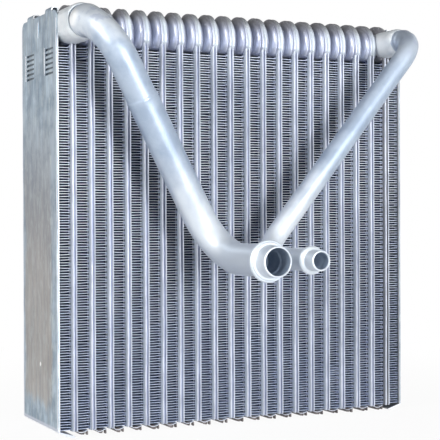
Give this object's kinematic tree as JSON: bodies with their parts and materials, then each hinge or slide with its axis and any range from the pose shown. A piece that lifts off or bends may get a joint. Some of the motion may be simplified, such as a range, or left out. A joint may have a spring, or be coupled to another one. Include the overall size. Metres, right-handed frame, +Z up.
{
  "type": "evaporator core",
  "caption": "Laminated evaporator core: flat tubes with drawn tank cups, folded fins between them, slotted end plates, and a thick and a thin bent pipe that end in beaded spigots.",
  "frame": {"origin": "on the surface that the bottom lips stand on, under the middle of the box round core and pipes", "axes": "+X across the core from the suction side to the liquid side, +Y from the spigots back through the core, +Z up to the tank cups"},
  "size_m": [0.2474, 0.18, 0.2627],
  "materials": {
    "tube": "bare brazed sheet, satin, cool grey",
    "fin": "thin folded sheet, satin with darker folds",
    "end_plate": "rolled sheet with upright streaks and brazing stains",
    "nozzle": "satin with small dents",
    "pipe": "smooth drawn tube, satin"
  },
  "bodies": {
    "root": {"tube_01": "tube", "tube_02": "tube", "tube_03": "tube", "tube_04": "tube", "tube_05": "tube", "tube_06": "tube", "tube_07": "tube", "tube_08": "tube", "tube_09": "tube", "tube_10": "tube", "tube_11": "tube", "tube_12": "tube", "tube_13": "tube", "tube_14": "tube", "tube_15": "tube", "tube_16": "tube", "tube_17": "tube", "tube_18": "tube", "tube_19": "tube", "tube_20": "tube", "fin_01": "fin", "fin_02": "fin", "fin_03": "fin", "fin_04": "fin", "fin_05": "fin", "fin_06": "fin", "fin_07": "fin", "fin_08": "fin", "fin_09": "fin", "fin_10": "fin", "fin_11": "fin", "fin_12": "fin", "fin_13": "fin", "fin_14": "fin", "fin_15": "fin", "fin_16": "fin", "fin_17": "fin", "fin_18": "fin", "fin_19": "fin", "fin_20": "fin", "fin_21": "fin", "left_end_plate": "end_plate", "right_end_plate": "end_plate", "suction_nozzle": "nozzle", "liquid_nozzle": "nozzle", "suction_pipe": "pipe", "liquid_pipe": "pipe"}
  },
  "joints": []
}
